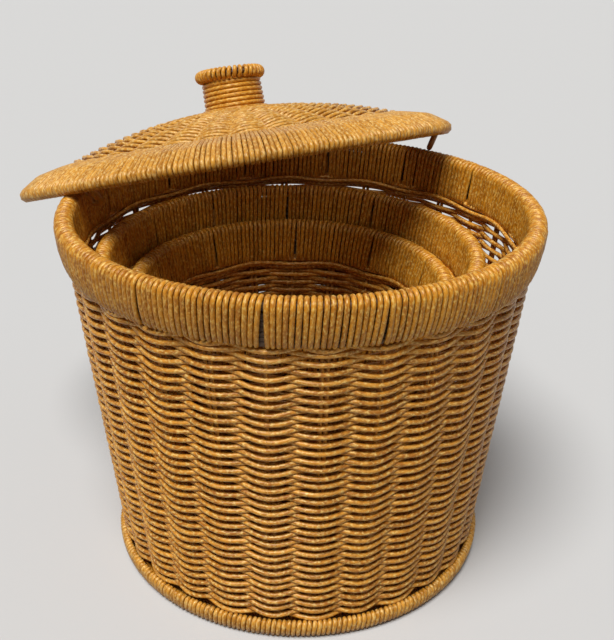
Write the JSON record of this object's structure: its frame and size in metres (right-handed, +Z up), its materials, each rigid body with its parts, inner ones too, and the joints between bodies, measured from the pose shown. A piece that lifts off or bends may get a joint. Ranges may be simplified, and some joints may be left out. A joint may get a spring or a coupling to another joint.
{
  "type": "laundry hamper",
  "caption": "Round tapered hamper of twined plastic cane with a wound rim, smaller baskets nested inside it and a domed lid with a wound ring knob lying ajar on top.",
  "frame": {"origin": "on the hamper's upright axis, in the plane of the floor it stands on, just below the middle of its woven bottom", "axes": "+Z up, -Y to the front that the picture sees, +X to the right of that view"},
  "size_m": [0.4692, 0.5579, 0.3996],
  "materials": {
    "wound_strand": "satin, mottled honey brown cane",
    "woven_strand": "satin, mottled honey brown cane",
    "inner_strand": "satin, mottled honey brown cane",
    "stake": "satin, darker thin cane",
    "loop": "satin, dark brown cane over wire",
    "rim_core": "plain",
    "wire": "brown paint",
    "knob_core": "raw turned plug"
  },
  "bodies": {
    "hamper": {"hamper_frame": "wire", "hamper_rim_core": "rim_core", "hamper_rim_wrap": "wound_strand", "hamper_weave_outer": "woven_strand", "hamper_weave_inner": "inner_strand", "hamper_foot_wrap": "wound_strand", "hamper_base_weave": "inner_strand", "hamper_stake_01": "stake", "hamper_stake_02": "stake", "hamper_stake_03": "stake", "hamper_stake_04": "stake", "hamper_stake_05": "stake", "hamper_stake_06": "stake", "hamper_stake_07": "stake", "hamper_stake_08": "stake", "hamper_stake_09": "stake", "hamper_stake_10": "stake", "hamper_stake_11": "stake", "hamper_stake_12": "stake", "hamper_stake_13": "stake", "hamper_stake_14": "stake"},
    "middle_basket": {"middle_basket_frame": "wire", "middle_basket_rim_core": "rim_core", "middle_basket_rim_wrap": "wound_strand", "middle_basket_weave_outer": "woven_strand", "middle_basket_weave_inner": "inner_strand", "middle_basket_foot_wrap": "wound_strand", "middle_basket_base_weave": "inner_strand"},
    "small_basket": {"small_basket_frame": "wire", "small_basket_rim_core": "rim_core", "small_basket_rim_wrap": "wound_strand", "small_basket_weave_outer": "woven_strand", "small_basket_weave_inner": "inner_strand", "small_basket_foot_wrap": "wound_strand", "small_basket_base_weave": "inner_strand"},
    "lid": {"lid_frame": "wire", "lid_edge_hoop": "wire", "lid_band_hoop": "wire", "lid_band_wrap": "wound_strand", "lid_weave_top": "woven_strand", "lid_weave_under": "inner_strand", "lid_collar": "wound_strand", "knob_core": "knob_core", "knob_neck_winding": "wound_strand", "knob_ring_core": "wire", "knob_ring_winding": "wound_strand", "lid_loop_right": "loop", "lid_loop_back": "loop", "lid_loop_left": "loop"}
  },
  "joints": [
    {"name": "middle_lift", "type": "slide", "parent": "hamper", "child": "middle_basket", "axis": [0, 0, 1], "range_m": [0, 0.325]},
    {"name": "small_lift", "type": "slide", "parent": "middle_basket", "child": "small_basket", "axis": [0, 0, 1], "range_m": [0, 0.27]},
    {"name": "lid_lift", "type": "slide", "parent": "small_basket", "child": "lid", "axis": [0, 0, 1], "range_m": [0, 0.25]}
  ]
}
